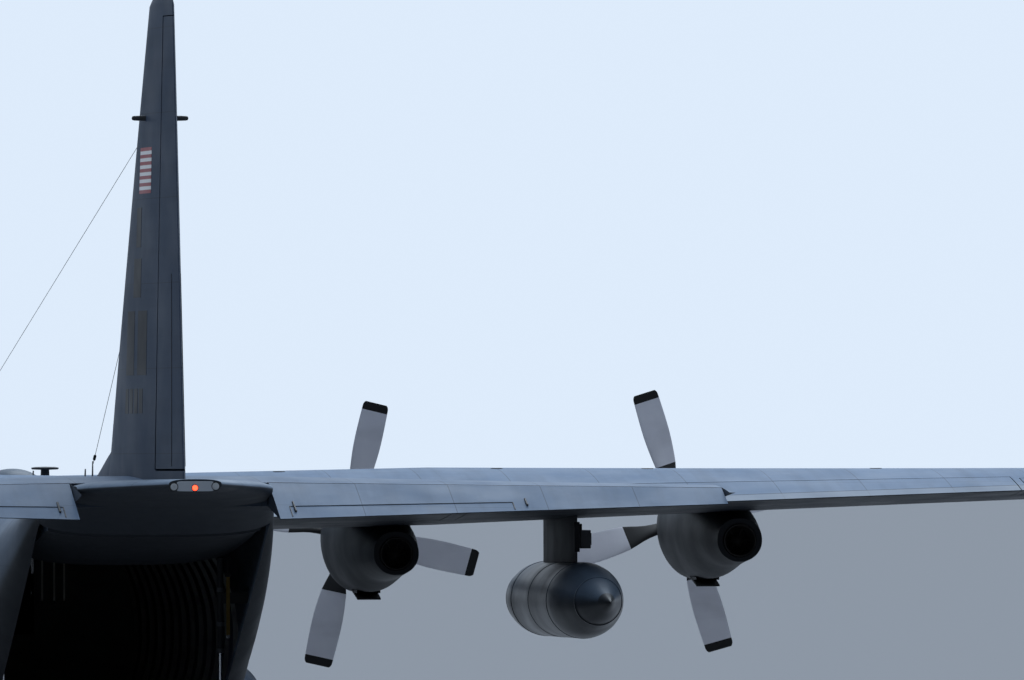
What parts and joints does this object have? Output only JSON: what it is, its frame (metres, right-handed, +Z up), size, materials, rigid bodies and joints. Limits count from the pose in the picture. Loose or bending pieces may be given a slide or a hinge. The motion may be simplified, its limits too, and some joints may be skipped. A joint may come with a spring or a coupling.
{
  "type": "military transport aircraft, 1:2 scale model",
  "caption": "High-wing turboprop transport with rear ramp, on its gear, at half of real size; propellers, control surfaces, doors, ramp and wheels move.",
  "frame": {"origin": "on the ground under the middle of the overall box", "axes": "+X to the right wing tip, +Y forward to the nose, +Z up"},
  "size_m": [20.205, 14.895, 5.83],
  "materials": {
    "grey_paint": "matt grey",
    "radome_paint": "satin dark grey",
    "nacelle_paint": "matt grey",
    "tank_paint": "satin grey",
    "blade_grey": "matt warm grey",
    "ramp_paint": "worn matt grey",
    "hold_floor": "matt anti-slip",
    "hold_lining": "matt",
    "interior_dark": "matt",
    "gear_bay": "satin",
    "gear_metal": "satin",
    "bright_steel": "polished",
    "glass": "clear dark",
    "tyre": "matt"
  },
  "bodies": {
    "airframe": {"radome": "radome_paint", "flight_deck": "grey_paint", "cockpit_glazing": "glass", "flight_deck_interior": "interior_dark", "nose_gear_well": "gear_bay", "forward_fuselage": "grey_paint", "center_fuselage": "grey_paint", "aft_fuselage": "grey_paint", "paratroop_door_left": "grey_paint", "paratroop_door_right": "grey_paint", "tail_cone": "grey_paint", "cargo_floor": "hold_floor", "hold_bulkhead": "hold_lining", "ramp_actuator_left": "interior_dark", "ramp_actuator_right": "interior_dark", "wing_center": "grey_paint", "stabilizer": "grey_paint", "fin": "grey_paint", "nose_gear_leg": "gear_metal", "wing_outer_left": "grey_paint", "tank_left": "tank_paint", "tank_pylon_left": "grey_paint", "gear_pod_left": "grey_paint", "main_gear_legs_left": "gear_metal", "wing_outer_right": "grey_paint", "tank_right": "tank_paint", "tank_pylon_right": "grey_paint", "gear_pod_right": "grey_paint", "main_gear_legs_right": "gear_metal", "nacelle_1": "nacelle_paint", "nacelle_2": "nacelle_paint", "nacelle_3": "nacelle_paint", "nacelle_4": "nacelle_paint"},
    "crew_door": {"crew_door": "grey_paint"},
    "ramp": {"ramp": "ramp_paint"},
    "aft_cargo_door": {"aft_cargo_door": "grey_paint"},
    "rudder": {"rudder": "grey_paint"},
    "elevators": {"elevator_left": "grey_paint", "elevator_right": "grey_paint"},
    "nose_gear_fork": {"nose_gear_fork": "gear_metal"},
    "nose_wheels": {"nose_wheels": "tyre"},
    "ramp_rod_left": {"ramp_rod_left": "bright_steel"},
    "flap_inner_left": {"flap_inner_left": "grey_paint"},
    "flap_outer_left": {"flap_outer_left": "grey_paint"},
    "aileron_left": {"aileron_left": "grey_paint"},
    "main_wheel_front_left": {"main_wheel_front_left": "tyre"},
    "main_wheel_rear_left": {"main_wheel_rear_left": "tyre"},
    "ramp_rod_right": {"ramp_rod_right": "bright_steel"},
    "flap_inner_right": {"flap_inner_right": "grey_paint"},
    "flap_outer_right": {"flap_outer_right": "grey_paint"},
    "aileron_right": {"aileron_right": "grey_paint"},
    "main_wheel_front_right": {"main_wheel_front_right": "tyre"},
    "main_wheel_rear_right": {"main_wheel_rear_right": "tyre"},
    "propeller_1": {"propeller_1": "blade_grey"},
    "propeller_2": {"propeller_2": "blade_grey"},
    "propeller_3": {"propeller_3": "blade_grey"},
    "propeller_4": {"propeller_4": "blade_grey"}
  },
  "joints": [
    {"name": "propeller_1_spin", "type": "hinge", "parent": "airframe", "child": "propeller_1", "pos_m": [-5.08, 2.6975, 2.015], "axis": [0, 1, 0], "continuous": true},
    {"name": "propeller_2_spin", "type": "hinge", "parent": "airframe", "child": "propeller_2", "pos_m": [-2.475, 2.6975, 1.925], "axis": [0, 1, 0], "continuous": true},
    {"name": "propeller_3_spin", "type": "hinge", "parent": "airframe", "child": "propeller_3", "pos_m": [2.475, 2.6975, 1.925], "axis": [0, 1, 0], "continuous": true},
    {"name": "propeller_4_spin", "type": "hinge", "parent": "airframe", "child": "propeller_4", "pos_m": [5.08, 2.6975, 2.015], "axis": [0, 1, 0], "continuous": true},
    {"name": "nose_steering", "type": "hinge", "parent": "airframe", "child": "nose_gear_fork", "pos_m": [0, 5.3225, 0.35], "axis": [0, 0, 1], "range_deg": [-60, 60]},
    {"name": "nose_wheels_spin", "type": "hinge", "parent": "nose_gear_fork", "child": "nose_wheels", "pos_m": [0, 5.3225, 0.2425], "axis": [1, 0, 0], "continuous": true},
    {"name": "main_wheel_front_left_spin", "type": "hinge", "parent": "airframe", "child": "main_wheel_front_left", "pos_m": [-1.0875, 0.8225, 0.345], "axis": [1, 0, 0], "continuous": true},
    {"name": "main_wheel_rear_left_spin", "type": "hinge", "parent": "airframe", "child": "main_wheel_rear_left", "pos_m": [-1.0875, 0.0475, 0.345], "axis": [1, 0, 0], "continuous": true},
    {"name": "main_wheel_front_right_spin", "type": "hinge", "parent": "airframe", "child": "main_wheel_front_right", "pos_m": [1.0875, 0.8225, 0.345], "axis": [1, 0, 0], "continuous": true},
    {"name": "main_wheel_rear_right_spin", "type": "hinge", "parent": "airframe", "child": "main_wheel_rear_right", "pos_m": [1.0875, 0.0475, 0.345], "axis": [1, 0, 0], "continuous": true},
    {"name": "ramp_hinge", "type": "hinge", "parent": "airframe", "child": "ramp", "pos_m": [0, -1.96, 0.485], "axis": [1, 0, 0], "range_deg": [-25, 11.5]},
    {"name": "aft_cargo_door_hinge", "type": "hinge", "parent": "airframe", "child": "aft_cargo_door", "pos_m": [0, -5.1375, 2.0425], "axis": [1, 0, 0], "range_deg": [-21, 0]},
    {"name": "crew_door_hinge", "type": "hinge", "parent": "airframe", "child": "crew_door", "pos_m": [-0.81306, 5.1725, 0.565], "axis": [0.0851, 0.9964, 0], "range_deg": [-115, 0]},
    {"name": "rudder_hinge", "type": "hinge", "parent": "airframe", "child": "rudder", "pos_m": [0, -6.0725, 4], "axis": [0, 0, 1], "range_deg": [-35, 35]},
    {"name": "elevator_hinge", "type": "hinge", "parent": "airframe", "child": "elevators", "pos_m": [0, -5.9775, 2.25], "axis": [1, 0, 0], "range_deg": [-55, 0]},
    {"name": "aileron_right_hinge", "type": "hinge", "parent": "airframe", "child": "aileron_right", "pos_m": [7.17, -0.21307, 2.2761], "axis": [0.9971, 0.0728, 0.024], "range_deg": [-15, 15]},
    {"name": "aileron_left_hinge", "type": "hinge", "parent": "airframe", "child": "aileron_left", "pos_m": [-7.17, -0.21307, 2.2761], "axis": [0.9971, -0.0728, -0.024], "range_deg": [-15, 15]},
    {"name": "flap_inner_left_hinge", "type": "hinge", "parent": "airframe", "child": "flap_inner_left", "pos_m": [-1.125, -0.46704, 2.03125], "axis": [0.9998, 0.0001, -0.0221], "range_deg": [0, 36]},
    {"name": "flap_inner_right_hinge", "type": "hinge", "parent": "airframe", "child": "flap_inner_right", "pos_m": [1.125, -0.46704, 2.03125], "axis": [0.9998, -0.0001, 0.0221], "range_deg": [0, 36]},
    {"name": "flap_outer_left_hinge", "type": "hinge", "parent": "airframe", "child": "flap_outer_left", "pos_m": [-2.85, -0.46357, 2.07033], "axis": [0.9972, -0.0652, -0.0373], "range_deg": [0, 36]},
    {"name": "flap_outer_right_hinge", "type": "hinge", "parent": "airframe", "child": "flap_outer_right", "pos_m": [2.85, -0.46357, 2.07033], "axis": [0.9972, 0.0652, 0.0373], "range_deg": [0, 36]},
    {"name": "ramp_rod_left_slide", "type": "slide", "parent": "airframe", "child": "ramp_rod_left", "axis": [0, 0, 1], "range_m": [-0.142, 0.304]},
    {"name": "ramp_rod_right_slide", "type": "slide", "parent": "airframe", "child": "ramp_rod_right", "axis": [0, 0, 1], "range_m": [-0.142, 0.304]}
  ],
  "couplings": [
    {"joint": "aileron_left_hinge", "follows": "aileron_right_hinge", "ratio": -1},
    {"joint": "flap_inner_right_hinge", "follows": "flap_inner_left_hinge", "ratio": 1},
    {"joint": "flap_outer_left_hinge", "follows": "flap_inner_left_hinge", "ratio": 1},
    {"joint": "flap_outer_right_hinge", "follows": "flap_inner_left_hinge", "ratio": 1},
    {"joint": "ramp_rod_left_slide", "follows": "ramp_hinge", "m_per_rad": -0.6925},
    {"joint": "ramp_rod_right_slide", "follows": "ramp_hinge", "m_per_rad": -0.6925}
  ]
}
